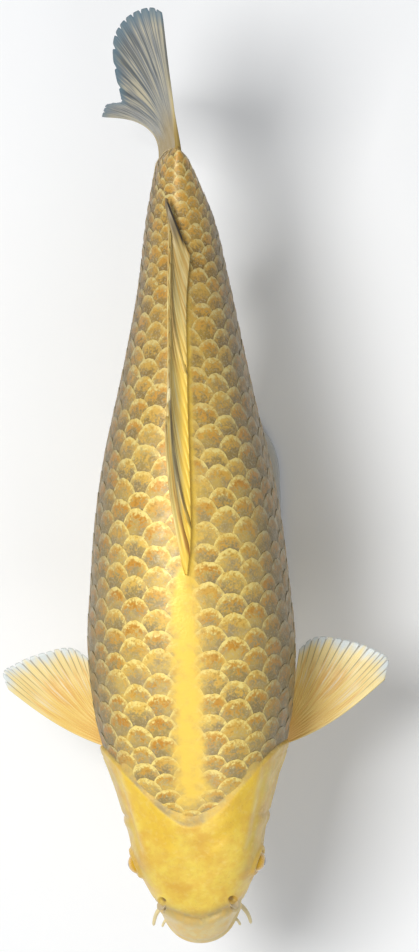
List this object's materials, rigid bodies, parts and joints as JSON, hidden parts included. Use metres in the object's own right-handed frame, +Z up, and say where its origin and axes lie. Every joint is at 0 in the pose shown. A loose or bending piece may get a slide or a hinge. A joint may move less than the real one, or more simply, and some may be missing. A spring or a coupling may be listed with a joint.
{
  "type": "koi carp model",
  "caption": "Life-size golden koi carp in a swimming pose, dorsal fin folded and pectoral fins spread, held over a flat display base by short rods.",
  "frame": {"origin": "middle of the underside of the stand's base", "axes": "+Z up, -Y the way the fish faces, +X the fish's own left side"},
  "size_m": [0.2926, 0.6931, 0.2961],
  "materials": {
    "fish_skin": "wet satin skin and overlapping metallic gold scales",
    "fins": "thin ribbed fin membrane, golden, paler at the tips, grey on the tail",
    "barbels": "smooth wet skin",
    "eyes": "clear gloss over a gold iris and black pupil",
    "stand_paint": "satin pale grey paint",
    "stand_steel": "brushed"
  },
  "bodies": {
    "root": {"head": "fish_skin", "upper_jaw": "fish_skin", "lower_jaw": "fish_skin", "gill_cover_left": "fish_skin", "gill_cover_right": "fish_skin", "trunk_front": "fish_skin", "trunk_rear": "fish_skin", "tail_stalk": "fish_skin", "dorsal_fin": "fins", "anal_fin": "fins", "tail_fin_upper": "fins", "tail_fin_lower": "fins", "pectoral_fin_left": "fins", "pectoral_fin_right": "fins", "pelvic_fin_left": "fins", "pelvic_fin_right": "fins", "barbel_rear_left": "barbels", "barbel_rear_right": "barbels", "barbel_front_left": "barbels", "barbel_front_right": "barbels", "eye_left": "eyes", "eye_right": "eyes", "stand_base": "stand_paint", "stand_rod_front": "stand_steel", "stand_rod_rear": "stand_steel"}
  },
  "joints": []
}
